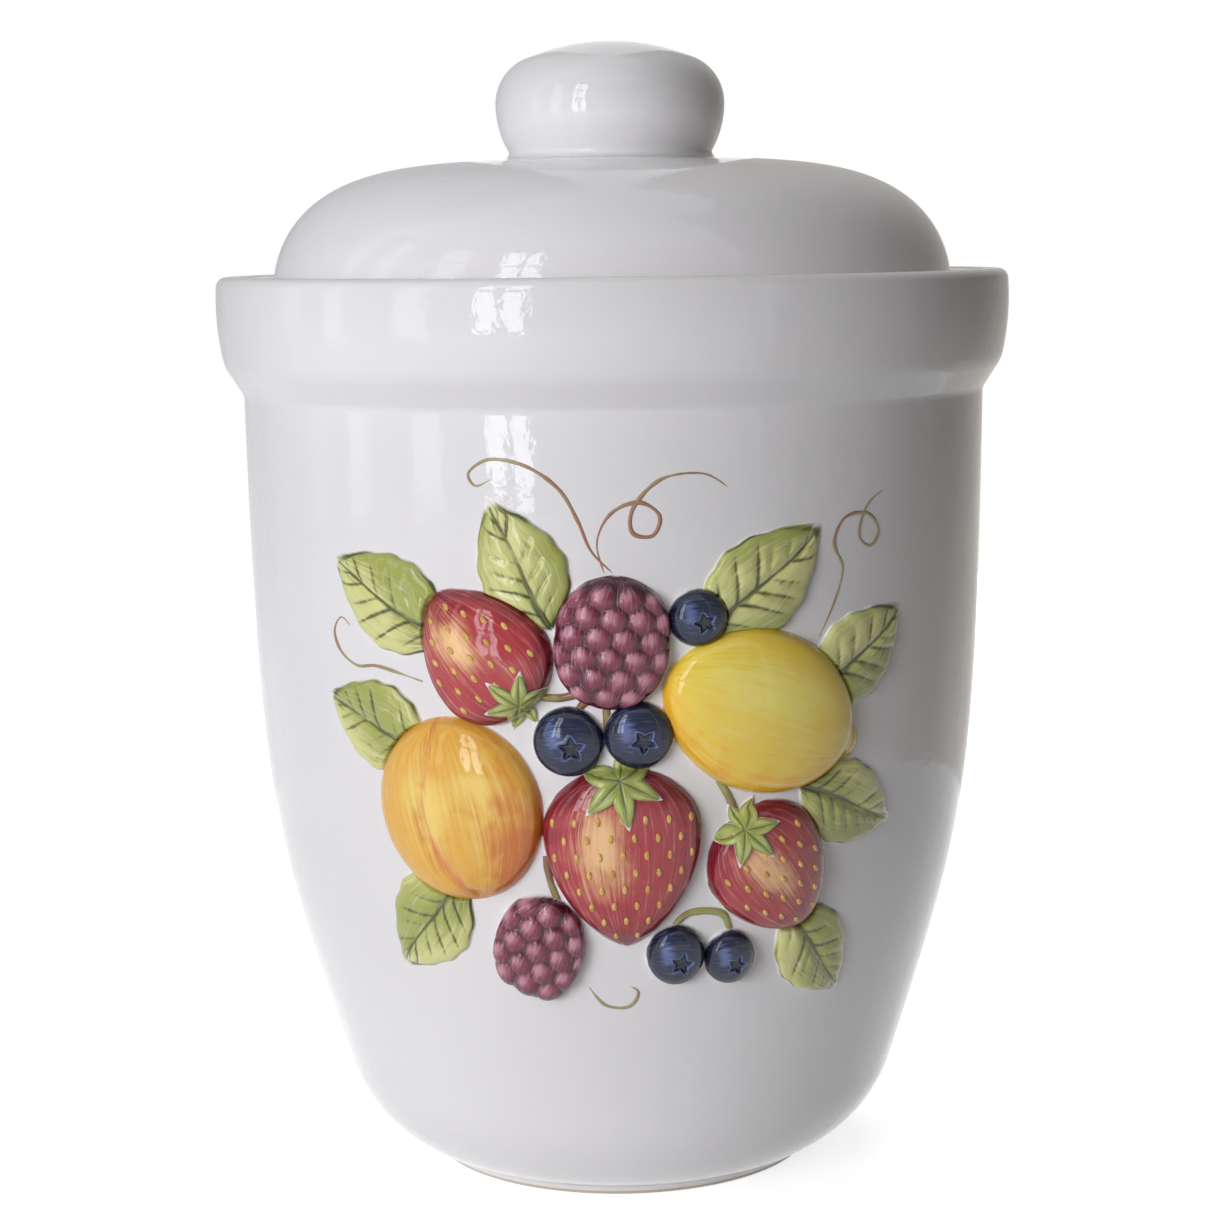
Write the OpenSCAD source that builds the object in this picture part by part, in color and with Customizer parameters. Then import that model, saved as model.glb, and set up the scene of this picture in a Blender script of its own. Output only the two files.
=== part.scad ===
// Rum pot: a slip-cast stoneware pot with a belted collar, a domed lid that sits down inside
// the collar, a cored knob, and a spray of moulded fruit and leaves luted to the front wall.
// Millimetres. The origin is at the middle of the foot on the table, +Z is up, the fruit faces -Y.

/* [Pot] */
// Height from the table to the rim
pot_h = 222; // [210:1:240]
// Outside diameter of the wall just under the collar
wall_d = 183.6; // [179:0.2:187]
// Thickness of the cast wall
wall_t = 7.2; // [5.6:0.1:8]
// Angle from upright that the lower wall draws in towards
draw_in = 19.1; // [14:0.1:22]
// Height of the middle of the bend where the wall starts to draw in
knee_z = 86.3; // [78:0.1:96]
// Softness of that bend
knee_soft = 40.4; // [28:0.1:52]
// Radius of the rounded heel
heel_r = 34.5; // [30:0.5:38]

/* [Foot] */
// Outside diameter of the foot ring
foot_d = 96; // [88:1:102]
// Width of the foot ring
foot_w = 7; // [5:0.5:10]
// Depth of the hollow inside the foot ring
foot_recess = 2; // [1:0.25:3]
// Rounding of the foot ring's edges
foot_round = 0.8; // [0.4:0.1:0.9]

/* [Collar] */
// How far the collar stands out from the wall at its fullest
collar_step = 6.3; // [5.2:0.1:8]
// Height from the rim down to the crease under the collar
collar_h = 30; // [28:0.5:33]
// Thickness of the collar
collar_t = 7.5; // [6.6:0.1:8.8]
// Radius of the collar's slight bulge, seen from the side
collar_bulge_r = 65; // [50:1:120]
// Depth of the fullest part of the bulge under the rim
collar_full = 7; // [5:0.5:9]
// Radius of the collar's lower edge
collar_lip_r = 10; // [7:0.5:12]
// Fillet in the crease between collar and wall
crease_r = 3.5; // [2:0.25:4.5]
// Rounding of the rim's two edges
rim_round = 2.5; // [1.5:0.1:3]
// Depth of the lid's ledge under the rim
ledge_drop = 22; // [19:0.5:23.5]
// Rounding of the ledge's inner edge and of the corner behind it
ledge_round = 1.5; // [0.8:0.1:1.7]

/* [Lid] */
// Play all round between the lid's flange and the collar
lid_gap = 1.8; // [1:0.1:2.3]
// Thickness of the flange
flange_t = 5.5; // [4:0.25:7]
// Rounding of the flange's edges
flange_round = 0.8; // [0.4:0.1:1.2]
// How far the flange stands out from the dome's upright side
flange_w = 4.8; // [4.2:0.1:8]
// Height of the dome above its upright part
dome_h = 31.5; // [26:0.5:38]
// Depth under the rim at which the dome is upright
dome_spring = 4; // [2:0.5:8]
// Squareness of the dome's shoulder, 2 is an ellipse
dome_square = 4.7; // [3.2:0.1:5.5]
// Thickness of the lid
lid_t = 6; // [4.5:0.25:7.5]

/* [Knob] */
// Largest diameter of the knob
knob_d = 56.6; // [52:0.2:62]
// Height of the knob above the crown of the lid
knob_h = 29; // [27.5:0.5:33]
// Height of the widest part above the crown
knob_belly = 13.8; // [12.5:0.1:15]
// Radius of the underside of the knob, seen from the side
knob_under_r = 23; // [19:0.5:30]
// Radius of the knob's shoulder, seen from the side
knob_shoulder_r = 12; // [10:0.25:13]
// Radius of the slip fillet where the knob meets the lid
knob_fillet = 2.2; // [1.4:0.1:2.8]
// Diameter of the drain hole through the crown into the core of the knob
knob_hole_d = 22; // [14:1:26]
// Clay left above the core
knob_t = 9; // [7:0.5:14]

/* [Ornament] */
// Height of the middle of the fruit above the table
ornament_z = 112; // [104:0.5:120]
// Height of the large fruit off the wall
fruit_relief = 6.8; // [4.5:0.1:7.2]
// Height of the brambles off the wall
bramble_relief = 5.6; // [4:0.1:6.6]
// Height of the blueberries off the wall
blueberry_relief = 5; // [3.5:0.1:6]
// Height of the leaves off the wall
leaf_relief = 2.6; // [1.8:0.1:3.6]
// Layer of slip between a sprig and the wall
slip_t = 0.08; // [0.07:0.01:0.12]
// Gap between a leaf and the fruit that its root is tucked behind
leaf_gap = 0.4; // [0.3:0.05:0.8]

/* [Hidden] */
$fn = 96;

glaze_white = [0.90, 0.89, 0.88];
lemon_yellow = [0.93, 0.78, 0.22];
apricot_gold = [0.85, 0.58, 0.20];
strawberry_red = [0.62, 0.10, 0.16];
bramble_plum = [0.42, 0.16, 0.32];
blueberry_navy = [0.08, 0.11, 0.25];
leaf_green = [0.58, 0.64, 0.30];

// Points along an arc from one angle to another
function arc(c, r, a0, a1, n) =
    [for (i = [0:n]) let (a = a0 + (a1 - a0) * i / n) [c[0] + r * cos(a), c[1] + r * sin(a)]];

// The same points without the first, where an arc carries on from the stretch before it
function rest(points) = [for (i = [1:len(points) - 1]) points[i]];

// The wall: upright under the collar, bending softly at the knee into the straight draw-in
crease_z = pot_h - collar_h;
lean = tan(draw_in) / 2;
function drawn(z) = lean * (knee_z - z + sqrt((knee_z - z) ^ 2 + knee_soft ^ 2));
function wall_r(z) = wall_d / 2 + drawn(crease_z) - drawn(z);
function wall_slope(z) = lean * (1 + (knee_z - z) / sqrt((knee_z - z) ^ 2 + knee_soft ^ 2));
function wall_out(z) = [1, -wall_slope(z)] / sqrt(1 + wall_slope(z) ^ 2);
function wall_inside(z) = [wall_r(z), z] - wall_t * wall_out(z);

// The heel: an arc that leaves the wall smoothly and would touch the table on its own. heel_reach is
// the share of its radius at which the wall's slope is read to find where the two meet.
heel_reach = 0.7;
heel_z = heel_r * (1 - sin(atan(wall_slope(heel_r * heel_reach))));
heel_a = atan(wall_slope(heel_z));
heel_c = [wall_r(heel_z), heel_z] - heel_r * wall_out(heel_z);
foot_r = foot_d / 2;
foot_a = -acos((foot_r - heel_c[0]) / heel_r);

// The collar: a slightly bulged belt with a rounded lower lip and a filleted crease
collar_r = wall_d / 2 + collar_step;
collar_in = collar_r - collar_t;
bulge_c = [collar_r - collar_bulge_r, pot_h - collar_full];
bulge_top = asin((collar_full - rim_round) / (collar_bulge_r - rim_round));
bulge_end = -asin((collar_h - collar_lip_r - collar_full) / collar_bulge_r);
rim_c = bulge_c + (collar_bulge_r - rim_round) * [cos(bulge_top), sin(bulge_top)];
lip_c = bulge_c + (collar_bulge_r - collar_lip_r) * [cos(bulge_end), sin(bulge_end)];
lip_turn = 38;
crease_c = [wall_d / 2 + crease_r, crease_z];
ledge_z = pot_h - ledge_drop;
ledge_in = wall_d / 2 - wall_t;

wall_steps = 28;
pot_outside = concat(
    arc([foot_r - foot_round, foot_round], foot_round, -90, 0, 4),
    arc(heel_c, heel_r, foot_a, -heel_a, 12),
    [for (i = [1:wall_steps]) let (z = heel_z + (crease_z - heel_z) * i / wall_steps) [wall_r(z), z]],
    rest(arc(crease_c, crease_r, 180, 180 - lip_turn, 5)),
    arc(lip_c, collar_lip_r, -lip_turn, bulge_end, 6),
    rest(arc(bulge_c, collar_bulge_r, bulge_end, bulge_top, 8)),
    rest(arc(rim_c, rim_round, bulge_top, 90, 6)));

pot_inside = concat(
    arc([collar_in + rim_round, pot_h - rim_round], rim_round, 90, 180, 6),
    arc([collar_in - ledge_round, ledge_z + ledge_round], ledge_round, 0, -90, 4),
    arc([ledge_in + ledge_round, ledge_z - ledge_round], ledge_round, 90, 180, 4),
    [for (i = [1:wall_steps]) wall_inside(crease_z + (heel_z - crease_z) * i / wall_steps)],
    rest(arc(heel_c, heel_r - wall_t, -heel_a, -90, 10)),
    [[0, heel_c[1] - heel_r + wall_t]]);

module pot_body() {
    color(glaze_white)
    rotate_extrude()
    polygon(concat(
        [[0, foot_recess]],
        [[foot_r - foot_w - foot_round, foot_recess]],
        arc([foot_r - foot_w + foot_round, foot_round], foot_round, 180, 270, 4),
        pot_outside,
        pot_inside));
}

// The lid: a flange in the collar, an upright side, a square-shouldered dome and a flat crown
flange_r = collar_in - lid_gap;
dome_r = flange_r - flange_w;
spring_z = pot_h - dome_spring;
flange_top = ledge_z + flange_t;
flange_fillet = 2;
knob_r = knob_d / 2;
hole_r = knob_hole_d / 2;
knob_under_c = knob_r - knob_under_r;
knob_neck = knob_under_c + sqrt(knob_under_r ^ 2 - (knob_belly - knob_fillet) ^ 2);
knob_foot = knob_neck + knob_fillet;
crown_margin = 0.4;
crown_r = knob_foot + crown_margin;
function dome_at(r, a, h) = h * sqrt(1 - (r / a) ^ dome_square);
function dome_pts(a, h, z, r_end, n) =
    let (last = acos((r_end / a) ^ (dome_square / 2)))
    [for (i = [0:n]) let (t = last * i / n) [a * cos(t) ^ (2 / dome_square), z + h * sin(t)]];
crown_z = spring_z + dome_at(crown_r, dome_r, dome_h);
dome_steps = 20;

module lid() {
    color(glaze_white)
    rotate_extrude()
    polygon(concat(
        [[hole_r, crown_z]],
        [for (i = [dome_steps:-1:0]) dome_pts(dome_r, dome_h, spring_z, crown_r, dome_steps)[i]],
        arc([dome_r + flange_fillet, flange_top + flange_fillet], flange_fillet, 180, 270, 4),
        arc([flange_r - flange_round, flange_top - flange_round], flange_round, 90, 0, 3),
        arc([flange_r - flange_round, ledge_z + flange_round], flange_round, 0, -90, 3),
        arc([dome_r - lid_t + flange_round, ledge_z + flange_round], flange_round, 270, 180, 3),
        dome_pts(dome_r - lid_t, dome_h - lid_t, spring_z, hole_r, dome_steps)));
}

// The knob: an arc under the belly, a tighter shoulder, a flat cap that joins them smoothly
cap_drop = knob_h - knob_belly;
shoulder_c = knob_r - knob_shoulder_r;
cap_r = (shoulder_c ^ 2 + cap_drop ^ 2 - knob_shoulder_r ^ 2) / (2 * (cap_drop - knob_shoulder_r));
cap_a = asin(shoulder_c / (cap_r - knob_shoulder_r));
knob_neck_a = -asin((knob_belly - knob_fillet) / knob_under_r);
core_round = 4;
core_top = knob_h - knob_t;

module lid_knob() {
    color(glaze_white)
    translate([0, 0, crown_z])
    rotate_extrude()
    polygon(concat(
        [[hole_r, 0]],
        arc([knob_foot, knob_fillet], knob_fillet, 270, 180, 5),
        rest(arc([knob_under_c, knob_belly], knob_under_r, knob_neck_a, 0, 8)),
        rest(arc([shoulder_c, knob_belly], knob_shoulder_r, 0, 90 - cap_a, 10)),
        rest(arc([0, knob_h - cap_r], cap_r, 90 - cap_a, 90, 8)),
        [for (t = [90:-15:0]) [hole_r * cos(t), core_top - core_round * (1 - sin(t))]]));
}

// A place on the wall: s runs round it from the front middle, z is the height, h stands off it
ornament_r = wall_r(ornament_z);
function on_wall(s, z, h) =
    let (n = wall_out(z), r = wall_r(z) + h * n[0], a = s / ornament_r * 180 / PI)
    [r * sin(a), -r * cos(a), z + h * n[1]];

// A loft on the wall. Its plan is [at, size, turn, outline]: at is its middle on the unrolled front as
// [across, up], size its [length, width], turn the way its tip points, and outline gives the half width
// along the length. section gives the points round it there, as [side from -1 to 1, height off the wall].
module loft(plan, section, rows) {
    turn = plan[2];
    outline = plan[3];
    function place(u, side, h) =
        let (x = (u - 0.5) * plan[1][0], y = side * outline(u) * plan[1][1] / 2)
        on_wall(plan[0][0] + x * cos(turn) - y * sin(turn),
                ornament_z + plan[0][1] + x * sin(turn) + y * cos(turn), slip_t + h);
    rings = [for (i = [1:rows - 1]) let (u = (1 - cos(180 * i / rows)) / 2)
        [for (p = section(u)) place(u, p[0], p[1])]];
    ring = len(rings[0]);
    last = ring * (rows - 2);
    faces = concat(
        [for (i = [0:rows - 3]) for (j = [0:ring - 1])
            let (a = i * ring + j, d = i * ring + (j + 1) % ring)
            each [[a, d, d + ring], [a, d + ring, a + ring]]],
        [for (j = [0:ring - 1]) let (k = (j + 1) % ring)
            each [[last + ring, k, j], [last + j, last + k, last + ring + 1]]]);
    polyhedron(concat([for (r = rings) each r], [place(0, 0, 0), place(1, 0, 0)]), faces);
}

// A sprig: flat against the wall and domed outside, where crown gives the height from 0 to 1
module sprig(plan, relief, crown, rows, cols) {
    section = function(u) [for (j = [0:2 * cols - 1]) let (v = -cos(180 * j / cols))
        [v, j > 0 && j < cols ? relief * crown(u, v) : 0]];
    loft(plan, section, rows);
}

// The room that a sprig and a gap round it take up, as deep on both sides of the wall's face
module room(plan, gap, depth) {
    section = function(u) [[-1, -depth], [-1, depth], [1, depth], [1, -depth]];
    loft([plan[0], plan[1] + 2 * [gap, gap], plan[2], plan[3]], section, 18);
}

// Outlines along the length, 0 at the stem end and 1 at the tip
round_edge = function(u) sqrt(1 - (2 * u - 1) ^ 2);
lemon_edge = function(u) (1 - (2 * u - 1) ^ 2) ^ 0.72;
berry_edge = function(u) sqrt(1 - abs(2 * u - 1) ^ 2.4);
leaf_edge = function(u) sin(180 * u ^ 0.82) ^ 0.95;
strawberry_edge = function(u)
    u < 0.36 ? sqrt(1 - (1 - u / 0.36) ^ 2) : (1 - ((u - 0.36) / 0.64) ^ 2) ^ 0.72;

// Domes over those outlines
function dome(edge, v) = (edge * sqrt(1 - v ^ 2)) ^ 0.75;
lemon_crown = function(u, v) dome(lemon_edge(u), v);
strawberry_crown = function(u, v) dome(strawberry_edge(u), v);
apricot_crown = function(u, v)
    dome(round_edge(u), v) * (1 - 0.22 * exp(-((v - 0.35 * sin(180 * u)) / 0.2) ^ 2));
blueberry_crown = function(u, v)
    dome(round_edge(u), v) * (1 - 0.3 * exp(-((2 * u - 1) ^ 2 + v ^ 2) / 0.08));
leaf_crown = function(u, v)
    dome(leaf_edge(u), v) ^ 0.8 * (1 - 0.35 * exp(-(v / 0.2) ^ 2));

// Drupelets over a bramble's dome, in rows along it that are staggered by half a drupelet
drupelet = 5.6;
drupelet_row = 4.4;
first_row = 2.6;
function drupelets(size, u, v) =
    let (x = (u * size[0] - first_row) * 180 / drupelet_row,
         y = v * berry_edge(u) * size[1] / 2 * 360 / drupelet)
    dome(berry_edge(u), v) * (0.85 + 0.15 * cos(x) * cos(y));

// Places are [across, up] from the middle of the spray, sizes [length, width]
lemon_at = [34.5, 12.5];
lemon_size = [51, 36];
lemon_turn = -22;
lemon_plan = [lemon_at, lemon_size, lemon_turn, lemon_edge];
module lemon() {
    color(lemon_yellow)
    sprig(lemon_plan, fruit_relief, lemon_crown, 22, 12);
}

apricot_at = [-37.5, -9];
apricot_size = [42, 40];
apricot_turn = 100;
apricot_plan = [apricot_at, apricot_size, apricot_turn, round_edge];
module apricot() {
    color(apricot_gold)
    sprig(apricot_plan, fruit_relief, apricot_crown, 20, 12);
}

strawberry_at = [[1, -19.5], [37, -24.5], [-30.4, 27.6]];
strawberry_size = [[42, 35.5], [34, 28], [33, 28]];
strawberry_turn = [-88, -52, 132];
function strawberry_plan(i) = [strawberry_at[i], strawberry_size[i], strawberry_turn[i], strawberry_edge];
module strawberry(i) {
    color(strawberry_red)
    sprig(strawberry_plan(i), fruit_relief, strawberry_crown, 20, 12);
}

bramble_at = [[-19.7, -41], [-1, 30]];
bramble_size = [[25, 21], [29, 24.4]];
bramble_turn = [-112, 84];
function bramble_plan(i) = [bramble_at[i], bramble_size[i], bramble_turn[i], berry_edge];
module bramble(i) {
    size = bramble_size[i];
    color(bramble_plum)
    sprig(bramble_plan(i), bramble_relief, function(u, v) drupelets(size, u, v), 22, 16);
}

blueberry_at = [[-10.8, 7.8], [4.6, 9.2], [13.5, -42.7], [27, -44], [17.6, 35.2]];
blueberry_d = [15, 14.4, 13.5, 12, 12];
function blueberry_plan(i) = [blueberry_at[i], [blueberry_d[i], blueberry_d[i]], 0, round_edge];
module blueberry(i) {
    color(blueberry_navy)
    sprig(blueberry_plan(i), blueberry_relief, blueberry_crown, 12, 8);
}

// Leaves are placed by their roots, which are tucked behind the fruit that leaf_cover names: each leaf
// stops a gap short of that fruit
leaf_root = [[-44, 4], [19, 31], [43, -5], [-38, -25], [-38, 30], [45, 15], [41, -35], [-14, 33]];
leaf_size = [[32, 20], [37, 21], [31, 19], [33, 21], [36, 21], [33, 19], [31, 19], [32, 19]];
leaf_turn = [160, 40, -22, -132, 152, 36, -46, 116];
leaf_cover = [[apricot_plan], [lemon_plan, blueberry_plan(4)], [lemon_plan, strawberry_plan(1)],
              [apricot_plan], [strawberry_plan(2)], [lemon_plan], [strawberry_plan(1)],
              [strawberry_plan(2), bramble_plan(1)]];
module leaf(i) {
    middle = leaf_root[i] + leaf_size[i][0] / 2 * [cos(leaf_turn[i]), sin(leaf_turn[i])];
    color(leaf_green)
    difference() {
        sprig([middle, leaf_size[i], leaf_turn[i], leaf_edge], leaf_relief, leaf_crown, 16, 8);
        for (fruit = leaf_cover[i]) room(fruit, leaf_gap, 2 * leaf_relief);
    }
}

module strawberry_1() strawberry(0);
module strawberry_2() strawberry(1);
module strawberry_3() strawberry(2);
module bramble_1() bramble(0);
module bramble_2() bramble(1);
module blueberry_1() blueberry(0);
module blueberry_2() blueberry(1);
module blueberry_3() blueberry(2);
module blueberry_4() blueberry(3);
module blueberry_5() blueberry(4);
module leaf_1() leaf(0);
module leaf_2() leaf(1);
module leaf_3() leaf(2);
module leaf_4() leaf(3);
module leaf_5() leaf(4);
module leaf_6() leaf(5);
module leaf_7() leaf(6);
module leaf_8() leaf(7);

pot_body();
lid();
lid_knob();
lemon();
apricot();
strawberry_1();
strawberry_2();
strawberry_3();
bramble_1();
bramble_2();
blueberry_1();
blueberry_2();
blueberry_3();
blueberry_4();
blueberry_5();
leaf_1();
leaf_2();
leaf_3();
leaf_4();
leaf_5();
leaf_6();
leaf_7();
leaf_8();
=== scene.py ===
# A lidded rum pot: white glazed stoneware with a belted collar, a domed lid set down inside it,
# a round knob, and moulded fruit and leaves on the front, painted by hand under the clear glaze.
from math import acos, asin, atan2, cos, degrees, pi, radians, sin, tan

import bpy
import numpy as np
from mathutils import Matrix, Vector


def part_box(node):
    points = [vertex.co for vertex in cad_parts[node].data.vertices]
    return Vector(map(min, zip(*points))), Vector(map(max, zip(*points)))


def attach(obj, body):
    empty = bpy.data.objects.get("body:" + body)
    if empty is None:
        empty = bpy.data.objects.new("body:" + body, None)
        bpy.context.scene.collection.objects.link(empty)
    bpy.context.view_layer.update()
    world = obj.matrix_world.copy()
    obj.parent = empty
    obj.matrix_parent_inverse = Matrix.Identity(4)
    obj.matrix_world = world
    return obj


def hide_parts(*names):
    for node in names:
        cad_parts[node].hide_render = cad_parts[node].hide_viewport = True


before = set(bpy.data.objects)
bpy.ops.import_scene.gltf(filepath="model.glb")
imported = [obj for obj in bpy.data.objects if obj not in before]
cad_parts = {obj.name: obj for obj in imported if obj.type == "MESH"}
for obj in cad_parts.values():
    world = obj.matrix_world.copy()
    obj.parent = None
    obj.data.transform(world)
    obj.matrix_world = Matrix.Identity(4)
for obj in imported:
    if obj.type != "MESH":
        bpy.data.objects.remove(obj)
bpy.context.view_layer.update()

# Camera
# The pot is seen from a little above its rim and quite close, tilted down, with the picture
# turned by less than a degree. The distance, tilt and lens come from fitting the pot's outline.
mm = 0.001
rim_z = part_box("pot_body")[1][2]
camera_distance = 680 * mm
camera_above_rim = 7.5 * mm
camera_side = -0.4 * mm
camera_tilt = radians(7.85)
camera_roll = radians(-0.7)
photo_pixels = 1229
focal_pixels = 2705
sensor_width = 36


def placed(name, data):
    """A new object at the origin for a mesh, a lamp or the camera, linked into the scene."""
    thing = bpy.data.objects.new(name, data)
    bpy.context.collection.objects.link(thing)
    return thing


camera_data = bpy.data.cameras.new("camera")
camera_data.sensor_width = sensor_width
camera_data.lens = focal_pixels / photo_pixels * sensor_width
camera_data.clip_start = 10 * mm
camera = placed("camera", camera_data)
camera.matrix_world = (
    Matrix.Translation((camera_side, -camera_distance, rim_z + camera_above_rim))
    @ Matrix.Rotation(pi / 2 - camera_tilt, 4, "X")
    @ Matrix.Rotation(camera_roll, 4, "Z")
)
bpy.context.scene.camera = camera

# Pot body
# One slip casting in stoneware: foot ring, rounded heel, wall drawn in below the knee, belted
# collar and the ledge inside it for the lid. White glaze all over, wiped off under the foot.
wall_d = 183.6
wall_t = 7.2
draw_in = radians(19.1)
knee_z = 86.3
knee_soft = 40.4
heel_r = 34.5
heel_share = 0.7
foot_r = 48
foot_w = 7
foot_recess = 2
foot_round = 0.8
foot_fillet = 1
foot_bare = 1.0
pot_h = rim_z / mm
collar_r = 98.05
collar_h = 30
collar_t = 7.5
bulge_r = 65
bulge_depth = 7
lip_r = 10
lip_turn = 38
crease_r = 3.5
rim_round = 2.5
ledge_drop = 22
ledge_round = 1.5
crease_z = pot_h - collar_h
ledge_z = pot_h - ledge_drop
collar_in = collar_r - collar_t
foot_in = foot_r - foot_w
glaze_white = (0.84, 0.83, 0.835)
glaze_thin = (0.795, 0.78, 0.785)
glaze_warm = (0.70, 0.65, 0.60)
iron_speck = (0.16, 0.13, 0.11)
bare_clay = (0.55, 0.47, 0.38)
bare_soft = 0.2
rim_thin = 1.2
thin_share = 0.45
speck_chance = 0.93
speck_most = 0.03
noise_span = (0.3, 0.7)
ripple_share = 0.2
peel_share = 0.12
gloss_span = (0.03, 0.07)
glaze_ior = 1.52
glaze_bump = 0.35
glaze_relief = 1.2 * mm
sharp_edge = radians(40)


def arc(centre, radius, start, end, steps):
    """Points on an arc in the turning plane, angles in degrees."""
    angles = np.radians(np.linspace(start, end, steps + 1))
    return [(centre[0] + radius * cos(a), centre[1] + radius * sin(a)) for a in angles]


def drawn(z):
    """How far the wall has drawn in at a height, upright above the knee and straight below it."""
    return tan(draw_in) / 2 * (knee_z - z + np.hypot(knee_z - z, knee_soft))


def wall_r(z):
    """Outside radius of the wall at a height."""
    return wall_d / 2 + drawn(crease_z) - drawn(z)


def wall_normal(z):
    """Outward direction of the wall at a height, as radius and height."""
    slope = tan(draw_in) / 2 * (1 + (knee_z - z) / np.hypot(knee_z - z, knee_soft))
    return 1 / np.hypot(1, slope), -slope / np.hypot(1, slope)


def shaped(name, points, faces, material):
    """A mesh in one material."""
    mesh = bpy.data.meshes.new(name)
    mesh.from_pydata(points, [], faces)
    mesh.materials.append(material)
    return mesh


def turned(name, outline, body, node, material, around=224):
    """A piece turned about the pot's axis from a closed outline of (radius, height) in millimetres."""
    rings, points, faces = [], [], []
    for radius, height in outline:
        count = around if radius > 1e-6 else 1
        turn = np.arange(count) * 2 * pi / count
        rings.append((len(points), count))
        points += [(radius * cos(a) * mm, radius * sin(a) * mm, height * mm) for a in turn]
    for (low, low_count), (high, high_count) in zip(rings, rings[1:] + rings[:1]):
        if low_count == high_count == 1:
            continue
        for i in range(around):
            j = (i + 1) % around
            quad = [low + i % low_count, low + j % low_count, high + j % high_count, high + i % high_count]
            faces.append(list(dict.fromkeys(quad)))
    mesh = shaped(name, points, faces, material)
    mesh.shade_smooth()
    mesh.set_sharp_from_angle(angle=sharp_edge)
    piece = placed(name, mesh)
    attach(piece, body)
    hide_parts(node)


def node_group(name, inputs, outputs, family="Shader"):
    """An empty group of nodes with its sockets in and out, each given by its kind and name."""
    group = bpy.data.node_groups.new(name, family + "NodeTree")
    for way, sockets in (("INPUT", inputs), ("OUTPUT", outputs)):
        for kind, label in sockets:
            group.interface.new_socket(label, in_out=way, socket_type="NodeSocket" + kind)
    return group, group.nodes.new("NodeGroupInput").outputs, group.nodes.new("NodeGroupOutput").inputs


def fill(tree, inputs, values):
    """Sets a node's inputs to plain values, or links them from sockets."""
    for key, value in values.items():
        if isinstance(value, bpy.types.NodeSocket):
            tree.links.new(value, inputs[key])
        else:
            inputs[key].default_value = value


def add(tree, kind, values=None, **settings):
    """The outputs of a new node with its settings, its inputs filled from values or sockets."""
    node = tree.nodes.new(kind)
    for key, value in settings.items():
        setattr(node, key, value)
    fill(tree, node.inputs, values or {})
    return node.outputs


def math_node(tree, operation, a, b=0.0, c=0.0):
    """One sum, product or comparison of values or sockets."""
    return add(tree, "ShaderNodeMath", {0: a, 1: b, 2: c}, operation=operation)[0]


def between(tree, value, low, high, low_value=0.0, high_value=1.0, step="SMOOTHSTEP"):
    """A smooth or straight step of a value from low to high."""
    values = {"Value": value, "From Min": low, "From Max": high, "To Min": low_value, "To Max": high_value}
    return add(tree, "ShaderNodeMapRange", values, interpolation_type=step)["Result"]


def blend(tree, share, first, second):
    """One colour over another by a share from 0 to 1, each given as a colour or a socket."""
    first, second = (c if isinstance(c, bpy.types.NodeSocket) else (*c, 1) for c in (first, second))
    return add(tree, "ShaderNodeMix", {0: share, 6: first, 7: second}, data_type="RGBA")[2]


def object_place(tree):
    """The place on the piece itself, in metres."""
    return add(tree, "ShaderNodeTexCoord")["Object"]


def noise(tree, place, scale, detail=2.0, **more):
    """Soft noise about a half at a place, finer with the scale."""
    values = {"Vector": place, "Scale": scale, "Detail": detail} | more
    return add(tree, "ShaderNodeTexNoise", values)["Fac"]


# The clear glaze itself: it settles in slow waves with a closer ripple and a fine orange peel on
# them, and is a touch less glossy in clouds.
clear_glaze, glaze_in, glaze_out = node_group(
    "clear_glaze", [("Float", "Wave")], [("Float", "Height"), ("Float", "Roughness")])
place = object_place(clear_glaze)
waves = noise(clear_glaze, place, scale=26.0, detail=1.0, Roughness=0.4)
ripple = noise(clear_glaze, place, scale=130.0, detail=1.0)
peel = noise(clear_glaze, place, scale=420.0)
clouds = noise(clear_glaze, place, scale=14.0, detail=3.0)
surface = math_node(clear_glaze, "MULTIPLY", waves, glaze_in["Wave"])
surface = math_node(clear_glaze, "MULTIPLY_ADD", ripple, ripple_share, surface)
surface = math_node(clear_glaze, "MULTIPLY_ADD", peel, peel_share, surface)
gloss = between(clear_glaze, clouds, *noise_span, *gloss_span)
fill(clear_glaze, glaze_out, {"Height": surface, "Roughness": gloss})


def new_material(name):
    """A material with its tree and its shader's inputs."""
    material = bpy.data.materials.new(name)
    material.use_nodes = True
    tree = material.node_tree
    return material, tree, tree.nodes["Principled BSDF"].inputs


def glazed(name, wave=1.0):
    """A material with the clear glaze's gloss and waves on it, its tree and its shader's inputs."""
    material, tree, shader = new_material(name)
    cover = add(tree, "ShaderNodeGroup", {"Wave": wave}, node_tree=clear_glaze)
    relief = {"Strength": glaze_bump, "Distance": glaze_relief, "Height": cover["Height"]}
    bump = add(tree, "ShaderNodeBump", relief)["Normal"]
    fill(tree, shader, {"IOR": glaze_ior, "Normal": bump, "Roughness": cover["Roughness"]})
    return material, tree, shader


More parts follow.
